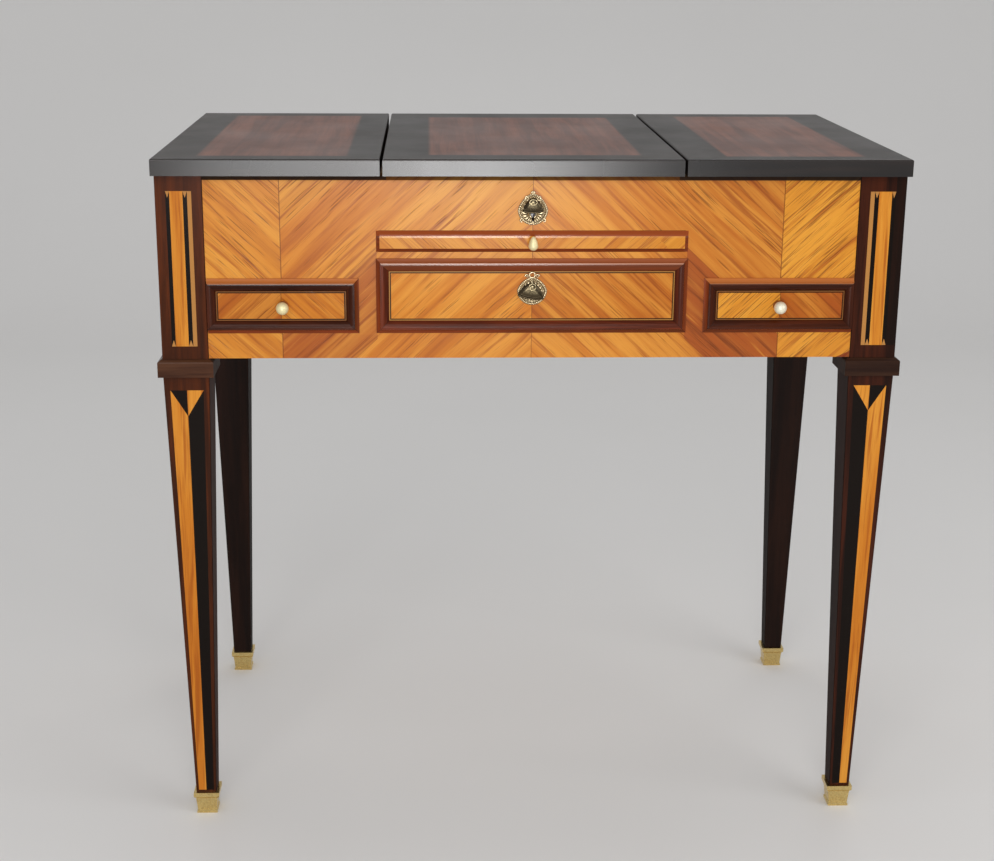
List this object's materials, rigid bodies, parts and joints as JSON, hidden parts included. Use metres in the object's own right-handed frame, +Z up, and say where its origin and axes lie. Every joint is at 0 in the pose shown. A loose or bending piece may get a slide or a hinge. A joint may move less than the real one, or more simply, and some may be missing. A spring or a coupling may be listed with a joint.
{
  "type": "dressing table",
  "caption": "Dressing table with a hinged panelled top, a lifting mirror flap over a well, a writing slide and shallow drawers, on square tapering legs.",
  "frame": {"origin": "on the floor, under the centre of the table as seen from above", "axes": "+X to the sitter's right, seen from the front; -Y towards the sitter; +Z up"},
  "size_m": [0.81, 0.4855, 0.768],
  "materials": {
    "marquetry": "french polish",
    "dark_top": "french polish",
    "rear_leg": "french polish",
    "oak": "waxed",
    "drawer_front": "french polish",
    "walnut": "french polish",
    "gilt": "cast and gilt",
    "brass": "polished",
    "steel": "bright",
    "leather": "tooled",
    "mirror": "silvered"
  },
  "bodies": {
    "carcass": {"leg_front_left": "marquetry", "leg_front_right": "marquetry", "leg_rear_left": "rear_leg", "leg_rear_right": "rear_leg", "leg_collars": "walnut", "leg_sabots": "brass", "right_side_panel": "marquetry", "left_side_panel": "marquetry", "back_panel": "rear_leg", "front_bottom_rail": "marquetry", "front_right_panel": "marquetry", "front_left_panel": "marquetry", "front_centre_panel": "marquetry", "bottom_board": "oak", "partitions": "oak", "flap_rests": "oak", "drawer_rail": "marquetry", "slide_dust_board": "oak", "centre_well_floor": "oak", "slide_stop_rail": "oak", "side_well_floors": "oak", "drawer_guides": "oak", "hinge_case_leaves": "brass", "lid_lock": "steel", "lid_lock_bolt": "steel", "lid_escutcheon": "gilt"},
    "left_flap": {"left_flap": "dark_top", "left_flap_hinge_leaves": "brass"},
    "right_flap": {"right_flap": "dark_top", "right_flap_hinge_leaves": "brass"},
    "centre_flap": {"centre_flap": "dark_top", "centre_flap_hinge_leaves": "brass", "mirror_frame": "walnut", "mirror_glass": "mirror", "lid_lock_strike": "brass"},
    "writing_slide": {"slide_front": "marquetry", "slide_board": "oak", "slide_leather": "leather", "slide_stop": "oak", "slide_knob": "brass"},
    "centre_drawer": {"centre_drawer_front": "drawer_front", "centre_drawer_sides": "oak", "centre_drawer_back": "oak", "centre_drawer_bottom": "oak", "drawer_lock": "steel", "drawer_escutcheon": "gilt"},
    "left_drawer": {"left_drawer_front": "drawer_front", "left_drawer_sides": "oak", "left_drawer_back": "oak", "left_drawer_bottom": "oak", "left_drawer_knob": "brass"},
    "right_drawer": {"right_drawer_front": "drawer_front", "right_drawer_sides": "oak", "right_drawer_back": "oak", "right_drawer_bottom": "oak", "right_drawer_knob": "brass"},
    "lid_cover": {"lid_keyhole_cover": "gilt"},
    "drawer_cover": {"drawer_keyhole_cover": "gilt"}
  },
  "joints": [
    {"name": "left_flap_hinge", "type": "hinge", "parent": "carcass", "child": "left_flap", "pos_m": [-0.402, 0, 0.75], "axis": [0, -1, 0], "range_deg": [0, 180]},
    {"name": "right_flap_hinge", "type": "hinge", "parent": "carcass", "child": "right_flap", "pos_m": [0.402, 0, 0.75], "axis": [0, 1, 0], "range_deg": [0, 180]},
    {"name": "centre_flap_hinge", "type": "hinge", "parent": "carcass", "child": "centre_flap", "pos_m": [0, 0.238, 0.75], "axis": [-1, 0, 0], "range_deg": [0, 105]},
    {"name": "writing_slide_pull", "type": "slide", "parent": "carcass", "child": "writing_slide", "axis": [0, -1, 0], "range_m": [0, 0.23]},
    {"name": "centre_drawer_pull", "type": "slide", "parent": "carcass", "child": "centre_drawer", "axis": [0, -1, 0], "range_m": [0, 0.3]},
    {"name": "left_drawer_pull", "type": "slide", "parent": "carcass", "child": "left_drawer", "axis": [0, -1, 0], "range_m": [0, 0.3]},
    {"name": "right_drawer_pull", "type": "slide", "parent": "carcass", "child": "right_drawer", "axis": [0, -1, 0], "range_m": [0, 0.3]},
    {"name": "lid_cover_pivot", "type": "hinge", "parent": "carcass", "child": "lid_cover", "pos_m": [0, -0.2254, 0.7215], "axis": [0, 1, 0], "range_deg": [-70, 70]},
    {"name": "drawer_cover_pivot", "type": "hinge", "parent": "centre_drawer", "child": "drawer_cover", "pos_m": [0, -0.2269, 0.631], "axis": [0, 1, 0], "range_deg": [-70, 70]}
  ]
}
